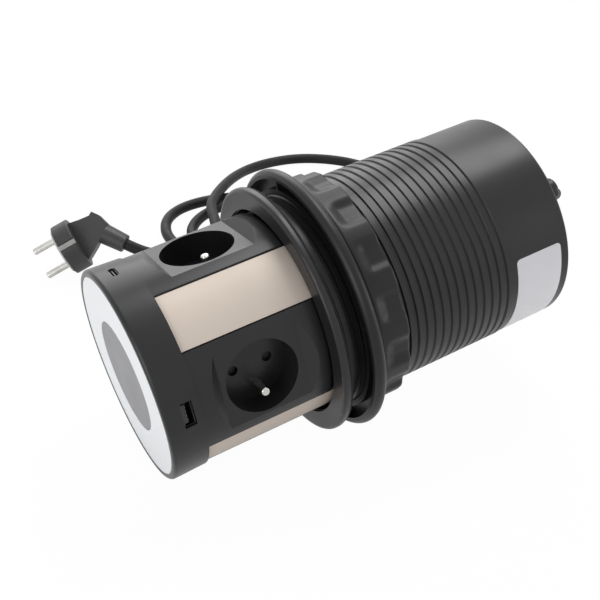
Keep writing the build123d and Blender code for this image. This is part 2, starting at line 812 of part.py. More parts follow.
with BuildPart() as blank_label:
    edge = way_out(label_angle)
    with BuildSketch(Plane(origin=unit.origin, x_dir=unit.z_dir, z_dir=unit.z_dir.cross(edge))):
        with BuildLine():
            Polyline(
                (label_start, sleeve_radius + seat_gap),
                (label_start, sleeve_radius + label_thickness),
                (label_end, sleeve_radius + label_thickness),
                (label_end, sleeve_radius + seat_gap),
                close=True,
            )
        make_face()
    revolve(axis=spindle, revolution_arc=label_sweep)
    corner_edges = blank_label.edges().sort_by(SortBy.LENGTH)[:4]
    fillet(corner_edges, label_round)
keep(blank_label, "blank_label")

# Cable gland and what hangs on it
gland_plane = beside(gland_angle, gland_circle, 0)
with BuildPart() as cable_gland:
    turned(
        (gland_inner_end, 0),
        (gland_inner_end, gland_body_radius),
        (base_end, gland_body_radius),
        (base_end, gland_flange_radius),
        (gland_flange_end, gland_flange_radius),
        (gland_flange_end, gland_boot_radius),
        (gland_tip, gland_tip_radius),
        (gland_tip, 0),
        about=gland_plane,
    )
keep(cable_gland, "cable_gland")

with BuildPart() as gland_nut:
    with BuildSketch(gland_plane.offset(tube_end - gland_nut_thickness)):
        RegularPolygon(gland_nut_radius, 6)
        Circle(gland_body_radius, mode=Mode.SUBTRACT)
    extrude(amount=gland_nut_thickness)
keep(gland_nut, "gland_nut")

lead_start = foot_plate_back + terminal_block_length + lead_radius + body_gap
lead_end = gland_inner_end - lead_radius - body_gap
with BuildPart() as inner_lead:
    with BuildLine():
        coils = Helix(
            (lead_end - lead_start) / lead_turns,
            lead_end - lead_start,
            gland_circle,
            center=unit.offset(lead_start).origin,
            direction=unit.z_dir,
        )
    first_way = (coils @ 0 - unit.offset(lead_start).origin).normalized()
    with BuildSketch(Plane(origin=coils @ 0, x_dir=first_way, z_dir=coils % 0)):
        Circle(lead_radius)
    sweep(path=coils, is_frenet=True)
lead_turn = unit.x_dir.get_signed_angle(first_way, unit.z_dir)
inner_lead.part = inner_lead.part.rotate(spindle, gland_angle - lead_turn)
keep(inner_lead, "inner_lead")

# Clamp ring, a cup that faces the desk, and the lobed nut behind it
bead_half = bead_round * sin(radians(bead_half_sweep))
bead_foot = bead_circle + bead_round * cos(radians(bead_half_sweep))
with BuildPart() as clamp_ring:
    with BuildSketch(Plane(origin=unit.origin, x_dir=unit.z_dir, z_dir=unit.y_dir)):
        with BuildLine():
            ThreePointArc(
                (bead_station - bead_half, bead_foot),
                (bead_station, bead_circle + bead_round),
                (bead_station + bead_half, bead_foot),
            )
            Polyline(
                (bead_station + bead_half, bead_foot),
                (clamp_end, skirt_end_radius),
                (clamp_end, clamp_bore_radius),
                (hub_start, clamp_bore_radius),
                (hub_start, hub_radius),
                (cup_floor, hub_radius),
                (cup_floor, cup_radius),
                (bead_station - bead_half, cup_radius),
                (bead_station - bead_half, bead_foot),
            )
        make_face()
    revolve(axis=spindle)
    with BuildSketch(unit.offset(hub_start)):
        rib_middle = (hub_radius + cup_radius) / 2
        with PolarLocations(rib_middle, cup_rib_count, start_angle=cup_rib_angle):
            Rectangle(cup_radius - hub_radius + 2 * weld, cup_rib_thickness)
    extrude(amount=cup_floor - hub_start)
keep(clamp_ring, "clamp_ring")

with BuildPart() as clamp_nut:
    tube(nut_start, nut_end, nut_radius, clamp_bore_radius)
    back_edges = clamp_nut.edges().group_by(spindle)[-1]
    fillet(back_edges.sort_by(SortBy.RADIUS)[-1], nut_back_round)
    grip_circle = nut_radius - nut_grip_depth + nut_grip_round
    grips = (nut_grip_round, grip_circle, nut_lobe_count, 360 / nut_lobe_count / 2)
    studs(nut_start - overrun, nut_end - nut_rim, *grips, mode=Mode.SUBTRACT)
keep(clamp_nut, "clamp_nut")

# Plug: its own plane has Z along the pins and X from one pin to the other
heading, dip, turn_over = radians(plug_heading), radians(plug_dip), radians(plug_turn)
pin_way = Vector(cos(dip) * cos(heading), cos(dip) * sin(heading), -sin(dip))
level_way = Vector(-sin(heading), cos(heading), 0)
pair_way = level_way * cos(turn_over) + level_way.cross(pin_way) * sin(turn_over)
face_rise = (plug_radius - plug_edge_round) * cos(dip) + plug_edge_round * (1 - sin(dip))
plug = Plane(
    origin=(head_x + plug_place[0], plug_place[1], face_rise), x_dir=pair_way, z_dir=pin_way
)
plug_back = Plane(origin=plug.origin, x_dir=plug.x_dir, z_dir=-plug.z_dir)
plug_side = Plane(origin=plug.origin, x_dir=-plug.z_dir, z_dir=-plug.y_dir)
notch_floor = plug_radius - plug_notch_depth
outer_points = [(plug_radius * depth, plug_radius * shift) for depth, shift in grip_outer_shares]
seat_points = [(plug_radius * depth, plug_radius * shift) for depth, shift in grip_seat_shares]
inner_points = [(plug_radius * depth, plug_radius * shift) for depth, shift in grip_inner_shares]


def in_plug(depth, shift):
    return plug.origin - plug.z_dir * depth + plug.x_dir * shift


seat_corners = [in_plug(*point) for point in seat_points]
boot_way = plug.y_dir.cross(seat_corners[0] - seat_corners[1]).normalized()
boot_way = boot_way if boot_way.dot(plug.x_dir) > 0 else -boot_way
boot = Plane(
    origin=(seat_corners[0] + seat_corners[1]) / 2, x_dir=plug.y_dir, z_dir=boot_way
)
with BuildPart() as plug_grip:
    with BuildSketch(plug_side):
        with BuildLine():
            Polyline(*outer_points, *seat_points, *inner_points, close=True)
        make_face()
    extrude(amount=grip_core_half, both=True)
    flanks = plug_grip.faces().sort_by(Axis(plug.origin, plug.y_dir))
    extrude(flanks[0], amount=grip_bevel, taper=grip_bevel_angle)
    extrude(flanks[-1], amount=grip_bevel, taper=grip_bevel_angle)

with BuildPart() as plug_body:
    turned((0, 0), (0, plug_radius), (plug_depth, plug_radius), (plug_depth, 0), about=plug_back)
    rims = plug_body.edges().filter_by(GeomType.CIRCLE)
    fillet(rims, plug_edge_round)
    add(plug_grip.part)
    with BuildSketch(plug):
        with GridLocations(pin_spacing, 0, 2, 1):
            Circle(pin_radius)
        with Locations((0, -earth_offset)):
            Circle(earth_pin_radius + body_gap)
    extrude(amount=-pin_root, mode=Mode.SUBTRACT)
    with BuildSketch(plug):
        with GridLocations(0, 2 * notch_floor + plug_notch_depth + overrun, 1, 2):
            Rectangle(plug_notch_width, plug_notch_depth + overrun)
    extrude(amount=-plug_depth, mode=Mode.SUBTRACT)
    turned(
        (-boot_spigot_length - seat_gap, 0),
        (-boot_spigot_length - seat_gap, boot_spigot_radius + seat_gap),
        (overrun, boot_spigot_radius + seat_gap),
        (overrun, 0),
        about=boot,
        mode=Mode.SUBTRACT,
    )
keep(plug_body, "plug_body")

with BuildPart() as plug_boot:
    turned(
        (-boot_spigot_length, 0),
        (-boot_spigot_length, boot_spigot_radius),
        (0, boot_spigot_radius),
        (0, boot_radius),
        (boot_length, boot_end_radius),
        (boot_length, 0),
        about=boot,
    )
    rims = plug_boot.edges().filter_by(GeomType.CIRCLE)
    fillet(rims.group_by(Axis(boot.origin, boot.z_dir))[-1], boot_edge_round)
keep(plug_boot, "plug_boot")

with BuildPart() as plug_insert:
    with BuildSketch(plug):
        Circle(min(plug_insert_radius, notch_floor))
        with GridLocations(pin_spacing, 0, 2, 1):
            Circle(pin_radius, mode=Mode.SUBTRACT)
        with Locations((0, -earth_offset)):
            Circle(earth_pin_radius + body_gap, mode=Mode.SUBTRACT)
    extrude(amount=plug_insert_thickness)
keep(plug_insert, "plug_insert")

with BuildPart() as plug_pins:
    with BuildSketch(plug.offset(-pin_root)):
        with GridLocations(pin_spacing, 0, 2, 1):
            Circle(pin_radius)
    extrude(amount=pin_root + pin_length)
    tips = plug_pins.edges().group_by(Axis(plug.origin, plug.z_dir))[-1]
    fillet(tips, pin_radius / 2)
keep(plug_pins, "plug_pins")

with BuildPart() as plug_clips:
    with BuildSketch(plug):
        with GridLocations(0, 2 * notch_floor + plug_clip_thickness, 1, 2):
            Rectangle(plug_clip_width, plug_clip_thickness)
    extrude(amount=-plug_depth)
keep(plug_clips, "plug_clips")


def from_head(x, y, z):
    return Vector(head_x + x, y, z)


def bend_radii(points):
    """Each corner's arc takes up a share of the shorter run beside it."""
    radii = []
    for before, corner, after in zip(points, points[1:], points[2:]):
        half_turn = radians((corner - before).get_angle(after - corner)) / 2
        shorter = min((corner - before).length, (after - corner).length)
        radii.append(cord_bend * shorter / tan(half_turn))
    return radii


def cord(points):
    """A round cord along straight runs with an arc at each corner, and the line that it follows."""
    with BuildPart() as length:
        with BuildLine() as way:
            FilletPolyline(*points, radius=bend_radii(points))
        with BuildSketch(Plane(origin=way.line @ 0, z_dir=way.line % 0)):
            Circle(cord_radius)
        sweep()
    return length, way.wire()


gland_mouth = gland_plane.origin + gland_plane.z_dir * gland_tip
corners = [gland_mouth, gland_mouth + gland_plane.z_dir * cord_first_run]
boot_end = boot.origin + boot.z_dir * boot_length
corners += [from_head(*corner) for corner in cord_route] + [boot_end]
split = (corners[cord_split + 1] + corners[cord_split + 2]) / 2
mains_cord, mains_line = cord(corners[: cord_split + 2] + [split])
cord_coil, coil_line = cord([split] + corners[cord_split + 2 :])
keep(mains_cord, "mains_cord")
keep(cord_coil, "cord_coil")

cord_length = mains_line.length + coil_line.length
print(f"gland tip {gland_mouth}, split {split}, boot end {boot_end}, head {head_x:.2f}")
print(f"cord {cord_length:.0f} long, least bend radius {min(bend_radii(corners)):.1f}")
for piece, line in ((mains_cord, mains_line), (cord_coil, coil_line)):
    print(f"{piece.part.label}: volume over section x length "
          f"{piece.part.volume / (pi * cord_radius**2 * line.length):.5f}")
steps = int(coil_line.length / gap_step)
spots = [tuple(coil_line @ (step / steps)) for step in range(steps + 1)]
skip = int(gap_skip / gap_step)
least = min(
    hypot(one[0] - other[0], one[1] - other[1], one[2] - other[2])
    for index, one in enumerate(spots)
    for other in spots[index + skip :]
)
print(f"least gap of the coil to itself {least - 2 * cord_radius:.2f}")
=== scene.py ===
import math
import bpy
from mathutils import Matrix, Vector


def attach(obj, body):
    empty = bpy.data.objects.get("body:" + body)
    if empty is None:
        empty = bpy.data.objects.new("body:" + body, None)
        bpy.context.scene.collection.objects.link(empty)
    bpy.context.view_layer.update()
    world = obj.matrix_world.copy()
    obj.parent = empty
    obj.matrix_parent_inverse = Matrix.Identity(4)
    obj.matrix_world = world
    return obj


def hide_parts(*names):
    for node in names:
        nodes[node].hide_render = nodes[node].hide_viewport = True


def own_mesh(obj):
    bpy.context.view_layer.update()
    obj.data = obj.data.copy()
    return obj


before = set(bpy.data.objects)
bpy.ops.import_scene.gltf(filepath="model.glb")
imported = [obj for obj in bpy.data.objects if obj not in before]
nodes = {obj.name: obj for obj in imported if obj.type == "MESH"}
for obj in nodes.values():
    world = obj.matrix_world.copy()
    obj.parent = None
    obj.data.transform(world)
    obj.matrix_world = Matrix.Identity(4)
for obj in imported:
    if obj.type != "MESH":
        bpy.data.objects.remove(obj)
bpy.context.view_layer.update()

# How the unit lies: its spindle runs from the head's face to the base, a little nose down
spindle = {"origin": (-0.127457, 0, 0.056578), "tilt": 8.5926, "roll": 7.1}
tilt, roll = math.radians(spindle["tilt"]), math.radians(spindle["roll"])
axisWay = Vector((math.cos(tilt), 0, math.sin(tilt)))
upWay = Vector((-math.sin(tilt), 0, math.cos(tilt)))
frontWay = Vector((0, -1, 0)) * math.cos(roll) + upWay * math.sin(roll)
sideWay = axisWay.cross(frontWay)
headFace = Vector(spindle["origin"])
lyingTurn = Matrix((frontWay, sideWay, axisWay)).transposed()


def wayOut(angle):
    turn = math.radians(angle)
    return frontWay * math.cos(turn) + sideWay * math.sin(turn)


def onSpindle(station, radius=0.0, angle=0.0):
    return headFace + axisWay * station + wayOut(angle) * radius


# Camera
view = {"place": (-0.25541, -0.41962, 0.35307), "turn": (59.65, 0, -28.63), "lens": 61.5,
        "sensor": 36, "near": 0.01}
cameraData = bpy.data.cameras.new("camera")
cameraData.lens = view["lens"]
cameraData.sensor_width = view["sensor"]
cameraData.clip_start = view["near"]
camera = bpy.data.objects.new("camera", cameraData)
camera.location = view["place"]
camera.rotation_euler = [math.radians(angle) for angle in view["turn"]]
bpy.context.collection.objects.link(camera)
bpy.context.scene.camera = camera
bpy.context.scene.view_settings.view_transform = "Standard"
print("camera set")


# Materials: colours are given as they look on the piece, out of 255
texture = {"darkEdge": 0.32, "lightEdge": 0.68, "smoothEdge": 0.3, "roughEdge": 0.7, "patchDetail": 4.0,
           "smearScale": 1.7, "smearDetail": 5.0, "grainDetail": 3.0, "grainStrength": 0.5}


def shade(value):
    part = value / 255
    return part / 12.92 if part <= 0.04045 else ((part + 0.055) / 1.055) ** 2.4


def tone(color):
    return (*[shade(value) for value in color], 1)


def startMaterial(name):
    material = bpy.data.materials.new(name)
    material.use_nodes = True
    nodeTree = material.node_tree
    return material, nodeTree, nodeTree.nodes["Principled BSDF"]


def noiseOn(nodeTree, place, scale, detail, stretch=(1, 1, 1), turn=(0, 0, 0)):
    mapping = nodeTree.nodes.new("ShaderNodeMapping")
    mapping.inputs["Scale"].default_value = stretch
    mapping.inputs["Rotation"].default_value = turn
    noise = nodeTree.nodes.new("ShaderNodeTexNoise")
    noise.inputs["Scale"].default_value = scale
    noise.inputs["Detail"].default_value = detail
    nodeTree.links.new(place.outputs["Object"], mapping.inputs["Vector"])
    nodeTree.links.new(mapping.outputs["Vector"], noise.inputs["Vector"])
    return noise


def patchyColor(nodeTree, shader, noise, dark, light):
    ramp = nodeTree.nodes.new("ShaderNodeValToRGB")
    ramp.color_ramp.elements[0].position = texture["darkEdge"]
    ramp.color_ramp.elements[0].color = tone(dark)
    ramp.color_ramp.elements[1].position = texture["lightEdge"]
    ramp.color_ramp.elements[1].color = tone(light)
    nodeTree.links.new(noise.outputs["Fac"], ramp.inputs["Fac"])
    nodeTree.links.new(ramp.outputs["Color"], shader.inputs["Base Color"])


def patchyGloss(nodeTree, shader, noise, smooth, rough):
    spread = nodeTree.nodes.new("ShaderNodeMapRange")
    spread.inputs["From Min"].default_value = texture["smoothEdge"]
    spread.inputs["From Max"].default_value = texture["roughEdge"]
    spread.inputs["To Min"].default_value = smooth
    spread.inputs["To Max"].default_value = rough
    nodeTree.links.new(noise.outputs["Fac"], spread.inputs["Value"])
    nodeTree.links.new(spread.outputs["Result"], shader.inputs["Roughness"])


def grainOn(nodeTree, shader, noise, depth):
    bump = nodeTree.nodes.new("ShaderNodeBump")
    bump.inputs["Strength"].default_value = texture["grainStrength"]
    bump.inputs["Distance"].default_value = depth
    nodeTree.links.new(noise.outputs["Fac"], bump.inputs["Height"])
    nodeTree.links.new(bump.outputs["Normal"], shader.inputs["Normal"])


def makeFinish(name, plan):
    material, nodeTree, shader = startMaterial(name)
    place = nodeTree.nodes.new("ShaderNodeTexCoord")
    patches = noiseOn(nodeTree, place, plan["patches"], texture["patchDetail"])
    patchyColor(nodeTree, shader, patches, plan["dark"], plan["light"])
    smears = noiseOn(nodeTree, place, plan["patches"] * texture["smearScale"], texture["smearDetail"])
    patchyGloss(nodeTree, shader, smears, *plan["gloss"])
    stretch = plan.get("stretch", (1, 1, 1))
    grain = noiseOn(nodeTree, place, plan["grain"], texture["grainDetail"], stretch, (0, tilt, 0))
    grainOn(nodeTree, shader, grain, plan["depth"])
    shader.inputs["Metallic"].default_value = plan.get("metal", 0.0)
    shader.inputs["Specular IOR Level"].default_value = plan.get("specular", 0.4)
    return material


finishPlans = {
    "shellPlastic": {"dark": (25, 25, 27), "light": (30, 30, 32), "gloss": (0.29, 0.36), "patches": 28,
                     "grain": 1100, "depth": 0.00003, "specular": 0.37},
    "mattPlastic": {"dark": (24, 24, 26), "light": (29, 29, 31), "gloss": (0.50, 0.58), "patches": 30,
                    "grain": 900, "depth": 0.00004, "specular": 0.35},
    "clampPlastic": {"dark": (24, 24, 26), "light": (29, 29, 31), "gloss": (0.33, 0.40), "patches": 24,
                     "grain": 900, "depth": 0.00003, "specular": 0.3},
    "whiteRing": {"dark": (238, 240, 243), "light": (241, 243, 246), "gloss": (0.34, 0.40), "patches": 20,
                  "grain": 400, "depth": 0.000001},
    "padFilm": {"dark": (140, 140, 143), "light": (147, 147, 150), "gloss": (0.48, 0.56), "patches": 40,
                "grain": 1600, "depth": 0.00002},
    "trimMetal": {"dark": (204, 192, 181), "light": (210, 198, 187), "gloss": (0.50, 0.58), "patches": 16,
                  "grain": 1500, "depth": 0.00001, "stretch": (0.03, 1, 1), "metal": 0.25, "specular": 0.3},
    "zincSteel": {"dark": (186, 184, 180), "light": (206, 204, 200), "gloss": (0.20, 0.30), "patches": 80,
                  "grain": 700, "depth": 0.00001, "metal": 1.0},
    "clipSteel": {"dark": (120, 119, 118), "light": (138, 137, 135), "gloss": (0.35, 0.45), "patches": 80,
                  "grain": 700, "depth": 0.00001, "metal": 1.0},
    "contactBrass": {"dark": (190, 150, 80), "light": (212, 174, 104), "gloss": (0.26, 0.34), "patches": 60,
                     "grain": 700, "depth": 0.00001, "metal": 1.0},
    "coilCopper": {"dark": (170, 96, 60), "light": (196, 118, 76), "gloss": (0.30, 0.40), "patches": 60,
                   "grain": 1200, "depth": 0.00004, "metal": 1.0},
    "portPlastic": {"dark": (14, 14, 15), "light": (20, 20, 21), "gloss": (0.48, 0.55), "patches": 60,
                    "grain": 900, "depth": 0.00002},
    # Port shields: plated steel darkened to a deep grey, painted shade for the inside of the recessed port
    # mouths
    "shadedPortShield": {"dark": (62, 62, 64), "light": (76, 76, 78), "gloss": (0.34, 0.42), "patches": 90,
                   "grain": 700, "depth": 0.00001, "metal": 1.0},
    "boardLacquer": {"dark": (18, 66, 40), "light": (26, 82, 50), "gloss": (0.30, 0.40), "patches": 50,
                     "grain": 500, "depth": 0.00002},
    "ferriteDisc": {"dark": (44, 42, 42), "light": (54, 52, 52), "gloss": (0.65, 0.75), "patches": 90,
                    "grain": 900, "depth": 0.00004},
    "sealRubber": {"dark": (24, 24, 25), "light": (31, 31, 32), "gloss": (0.75, 0.85), "patches": 90,
                   "grain": 1400, "depth": 0.00008, "specular": 0.25},
    "labelFilm": {"dark": (214, 214, 218), "light": (219, 219, 223), "gloss": (0.40, 0.48), "patches": 30,
                  "grain": 500, "depth": 0.000004},
    "cordSheath": {"dark": (25, 25, 27), "light": (31, 31, 33), "gloss": (0.46, 0.56), "patches": 45,
                   "grain": 900, "depth": 0.00003, "specular": 0.18},
    "plugRubber": {"dark": (36, 36, 38), "light": (43, 43, 45), "gloss": (0.42, 0.52), "patches": 50,
                   "grain": 1000, "depth": 0.00005, "specular": 0.55},
    "plugInsert": {"dark": (206, 206, 202), "light": (216, 216, 212), "gloss": (0.42, 0.50), "patches": 50,
                   "grain": 700, "depth": 0.00001},
}
dressing = {
    "shellPlastic": ["outer_tube", "desk_collar", "base_cap", "head_shell", "socket_front", "socket_top",
                     "socket_rear", "socket_bottom"],
    "mattPlastic": ["gland_nut", "cable_gland", "tower_spine", "tower_foot"],
    "clampPlastic": ["clamp_ring", "clamp_nut"],
    "whiteRing": ["cap_ring"],
    "padFilm": ["charge_pad"],
    "trimMetal": ["panel_1", "panel_2", "panel_3", "panel_4"],
    "zincSteel": ["base_screws", "plug_pins", "head_screws", "foot_screws", "earth_pins"],
    "clipSteel": ["plug_clips"],
    "contactBrass": ["earth_bus", "live_bus", "neutral_bus"],
    "coilCopper": ["charging_coil"],
    "portPlastic": ["shutter_front", "shutter_top", "shutter_rear", "shutter_bottom"],
    "shadedPortShield": ["usb_a_port", "usb_c_port"],
    "boardLacquer": ["charger_board", "usb_board"],
    "ferriteDisc": ["ferrite_disc"],
    "sealRubber": ["collar_seal", "friction_ring"],
    "labelFilm": ["blank_label"],
    "cordSheath": ["inner_lead", "mains_cord", "cord_coil"],
    "plugRubber": ["plug_body", "plug_boot"],
    "plugInsert": ["plug_insert", "terminal_block"],
}
finishes = {name: makeFinish(name, plan) for name, plan in finishPlans.items()}
for finish, names in dressing.items():
    for name in names:
        mesh = nodes[name].data
        mesh.materials.clear()
        mesh.materials.append(finishes[finish])
print("finishes on", sum(len(names) for names in dressing.values()), "parts")

# Cord: its route on the table, from the gland to the plug
lead = {
    "diameter": 0.0082,
    "length": 1.42,
    "roundSteps": 5,
    "runSteps": 8,
    "route": [
        (0.135, 0.0215, 0.0798), (0.1583, 0.0215, 0.0833), (0.1792, 0.0316, 0.0791),
        (0.1935, 0.0513, 0.067), (0.1912, 0.0802, 0.046), (0.1787, 0.1039, 0.0286),
        (0.1624, 0.1243, 0.0174), (0.1453, 0.1417, 0.0133), (0.1283, 0.1578, 0.0131),
        (0.1127, 0.1762, 0.0137), (0.1023, 0.1973, 0.0138), (0.0952, 0.221, 0.0132),
        (0.085, 0.2427, 0.0114), (0.0666, 0.2581, 0.0082), (0.0435, 0.2617, 0.0053),
        (0.0209, 0.2525, 0.0041), (0.0056, 0.2332, 0.0041), (0.0025, 0.2104, 0.0041),
        (0.0115, 0.1892, 0.0041), (0.03, 0.1755, 0.0041), (0.0565, 0.1723, 0.0041),
        (0.0807, 0.1783, 0.0041), (0.1002, 0.1934, 0.0041), (0.109, 0.2159, 0.0041),
        (0.1046, 0.2398, 0.0041), (0.0887, 0.26, 0.0041), (0.0667, 0.2735, 0.0041),
        (0.0414, 0.2797, 0.0041), (0.017, 0.2767, 0.0041), (-0.0016, 0.2628, 0.0041),
        (-0.0115, 0.2402, 0.0041), (-0.0123, 0.2158, 0.0041), (-0.0034, 0.1903, 0.0041),
        (0.0175, 0.1682, 0.0041), (0.0464, 0.1552, 0.0041), (0.0775, 0.1509, 0.0041),
        (0.1086, 0.1539, 0.0041), (0.1381, 0.1651, 0.0041), (0.1641, 0.1844, 0.0041),
        (0.1832, 0.2083, 0.0041), (0.1933, 0.235, 0.0041), (0.1937, 0.262, 0.0041),
        (0.1854, 0.2869, 0.0041), (0.1707, 0.3063, 0.0041), (0.1484, 0.3214, 0.0041),
        (0.1225, 0.3253, 0.0042), (0.0967, 0.3168, 0.0062), (0.0742, 0.2988, 0.0104),
        (0.0563, 0.2806, 0.0131), (0.0407, 0.2632, 0.0142), (0.0279, 0.2443, 0.0158),
        (0.0185, 0.2092, 0.0152), (0.0059, 0.1957, 0.0132), (-0.0115, 0.1894, 0.0128),
        (-0.029, 0.1909, 0.0128), (-0.0434, 0.1983, 0.0143), (-0.0537, 0.2075, 0.0201),
    ],
}
cordCurve = bpy.data.curves.new("mainsLead", "CURVE")
cordCurve.dimensions = "3D"
cordCurve.bevel_depth = lead["diameter"] / 2
cordCurve.bevel_resolution = lead["roundSteps"]
cordCurve.use_fill_caps = True
cordLine = cordCurve.splines.new("NURBS")
cordLine.points.add(len(lead["route"]) - 1)
for point, place in zip(cordLine.points, lead["route"]):
    point.co = (*place, 1)
cordLine.order_u = 3
cordLine.use_endpoint_u = True
cordLine.resolution_u = lead["runSteps"]
cordCurve.materials.append(finishes["cordSheath"])
mainsLead = bpy.data.objects.new("mains_lead", cordCurve)
bpy.context.collection.objects.link(mainsLead)
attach(mainsLead, "housing")
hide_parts("mains_cord", "cord_coil")
print("cord laid")

# Lead inside the barrel: its loose turns, copied from the inner lead and attached to the housing
innerTurns = bpy.data.objects.new("inner_turns", nodes["inner_lead"].data.copy())
bpy.context.collection.objects.link(innerTurns)
innerTurns.matrix_world = nodes["inner_lead"].matrix_world
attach(innerTurns, "housing")
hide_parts("inner_lead")
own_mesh(innerTurns)


# Small repeated pieces, each from a node tree with its sizes as inputs
def startTree(name, sizes):
    tree = bpy.data.node_groups.new(name, "GeometryNodeTree")
    tree.interface.new_socket("Geometry", in_out="INPUT", socket_type="NodeSocketGeometry")
    tree.interface.new_socket("Geometry", in_out="OUTPUT", socket_type="NodeSocketGeometry")
    for label, value in sizes.items():
        kind = "NodeSocketVector" if isinstance(value, (tuple, Vector)) else "NodeSocketFloat"
        kind = "NodeSocketInt" if isinstance(value, int) else kind
        tree.interface.new_socket(label, in_out="INPUT", socket_type=kind)
    return tree, tree.nodes.new("NodeGroupInput"), tree.nodes.new("NodeGroupOutput")


def join(tree, source, sourceName, target, targetName):
    tree.links.new(source.outputs[sourceName], target.inputs[targetName])


def reckon(tree, operation, first, second=None):
    node = tree.nodes.new("ShaderNodeMath")
    node.operation = operation
    for slot, value in zip(node.inputs, (first, second)):
        if isinstance(value, (int, float)):
            slot.default_value = value
        elif value is not None:
            tree.links.new(value, slot)
    return node.outputs[0]


def closeTree(tree, given, made, output, material):
    turning = tree.nodes.new("FunctionNodeEulerToRotation")
    placing = tree.nodes.new("GeometryNodeTransform")
    realize = tree.nodes.new("GeometryNodeRealizeInstances")
    coat = tree.nodes.new("GeometryNodeSetMaterial")
    coat.inputs["Material"].default_value = material
    join(tree, given, "Turn", turning, "Euler")
    join(tree, turning, "Rotation", placing, "Rotation")
    join(tree, given, "Place", placing, "Translation")
    tree.links.new(made, placing.inputs["Geometry"])
    join(tree, placing, "Geometry", realize, "Geometry")
    join(tree, realize, "Geometry", coat, "Geometry")
    tree.links.new(coat.outputs["Geometry"], output.inputs[0])


def growPiece(name, tree, sizes, body):
    holder = bpy.data.objects.new(name + "_holder", bpy.data.meshes.new(name + "_seed"))
    bpy.context.collection.objects.link(holder)
    modifier = holder.modifiers.new("grow", "NODES")
    modifier.node_group = tree
    for item in tree.interface.items_tree:
        if item.in_out == "INPUT" and item.name in sizes:
            modifier[item.identifier] = sizes[item.name]
    bpy.context.view_layer.update()
    grown = holder.evaluated_get(bpy.context.evaluated_depsgraph_get())
    mesh = bpy.data.meshes.new_from_object(grown)
    bpy.data.objects.remove(holder)
    piece = bpy.data.objects.new(name, mesh)
    bpy.context.collection.objects.link(piece)
    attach(piece, body)
    print(name, len(mesh.polygons), "faces")
    return piece


# Ribs round the gland's soft boot, along its length
glandRibs = {"count": 6, "first": 0.0035, "step": 0.0029, "radius": 0.0072, "shrink": 0.00033,
             "bead": 0.00055, "station": 0.241, "circle": 0.027, "angle": 150,
             "ringSteps": 48, "beadSteps": 10}
ribSizes = {
    "Count": glandRibs["count"], "Ring Radius": glandRibs["radius"], "Bead Radius": glandRibs["bead"],
    "Step": (0.0, 0.0, glandRibs["step"]), "First": (0.0, 0.0, glandRibs["first"]),
    "Shrink": glandRibs["shrink"] / glandRibs["radius"],
    "Place": onSpindle(glandRibs["station"], glandRibs["circle"], glandRibs["angle"]),
    "Turn": Vector(lyingTurn.to_euler()),
}
ribTree, ribGiven, ribOut = startTree("glandRibs", ribSizes)
ribLine = ribTree.nodes.new("GeometryNodeMeshLine")
ribRing = ribTree.nodes.new("GeometryNodeCurvePrimitiveCircle")
ribBead = ribTree.nodes.new("GeometryNodeCurvePrimitiveCircle")
ribBody = ribTree.nodes.new("GeometryNodeCurveToMesh")
ribSpread = ribTree.nodes.new("GeometryNodeInstanceOnPoints")
ribIndex = ribTree.nodes.new("GeometryNodeInputIndex")
ribRing.inputs["Resolution"].default_value = glandRibs["ringSteps"]
ribBead.inputs["Resolution"].default_value = glandRibs["beadSteps"]
join(ribTree, ribGiven, "Count", ribLine, "Count")
join(ribTree, ribGiven, "First", ribLine, "Start Location")
join(ribTree, ribGiven, "Step", ribLine, "Offset")
join(ribTree, ribGiven, "Ring Radius", ribRing, "Radius")
join(ribTree, ribGiven, "Bead Radius", ribBead, "Radius")
join(ribTree, ribRing, "Curve", ribBody, "Curve")
join(ribTree, ribBead, "Curve", ribBody, "Profile Curve")
join(ribTree, ribLine, "Mesh", ribSpread, "Points")
join(ribTree, ribBody, "Mesh", ribSpread, "Instance")
ribLoss = reckon(ribTree, "MULTIPLY", ribIndex.outputs[0], ribGiven.outputs["Shrink"])
ribTree.links.new(reckon(ribTree, "SUBTRACT", 1.0, ribLoss), ribSpread.inputs["Scale"])
closeTree(ribTree, ribGiven, ribSpread.outputs["Instances"], ribOut, finishes["mattPlastic"])
growPiece("gland_ribs", ribTree, ribSizes, "housing")

# Screws in the base's bosses: round heads with a cross recess
bossScrews = {"count": 4, "circle": 0.05, "angle": -33, "seat": 0.2405, "head": 0.0034, "height": 0.002,
              "shank": 0.0015, "shankLength": 0.0103, "shankOverlap": 0.0002, "slot": 0.0009,
              "slotLength": 0.0038, "slotDepth": 0.0012, "headSides": 40, "shankSides": 20}
bossTurn = lyingTurn @ Matrix.Rotation(math.radians(bossScrews["angle"]), 3, "Z")
screwSizes = {
    "Count": bossScrews["count"], "Circle": bossScrews["circle"], "Head Radius": bossScrews["head"],
    "Head Height": bossScrews["height"], "Head Middle": (0.0, 0.0, bossScrews["height"] / 2),
    "Shank Radius": bossScrews["shank"], "Shank Length": bossScrews["shankLength"],
    "Shank Middle": (0.0, 0.0, bossScrews["shankOverlap"] - bossScrews["shankLength"] / 2),
    "Slot Long": (bossScrews["slotLength"], bossScrews["slot"], 2 * bossScrews["slotDepth"]),
    "Slot Cross": (bossScrews["slot"], bossScrews["slotLength"], 2 * bossScrews["slotDepth"]),
    "Slot Top": (0.0, 0.0, bossScrews["height"]),
    "Place": onSpindle(bossScrews["seat"]), "Turn": Vector(bossTurn.to_euler()),
}
screwTree, screwGiven, screwOut = startTree("bossScrews", screwSizes)
screwSpots = screwTree.nodes.new("GeometryNodeMeshCircle")
screwHead = screwTree.nodes.new("GeometryNodeMeshCylinder")
screwShank = screwTree.nodes.new("GeometryNodeMeshCylinder")
screwHeadUp = screwTree.nodes.new("GeometryNodeTransform")
screwShankDown = screwTree.nodes.new("GeometryNodeTransform")
slotLong = screwTree.nodes.new("GeometryNodeMeshCube")
slotCross = screwTree.nodes.new("GeometryNodeMeshCube")
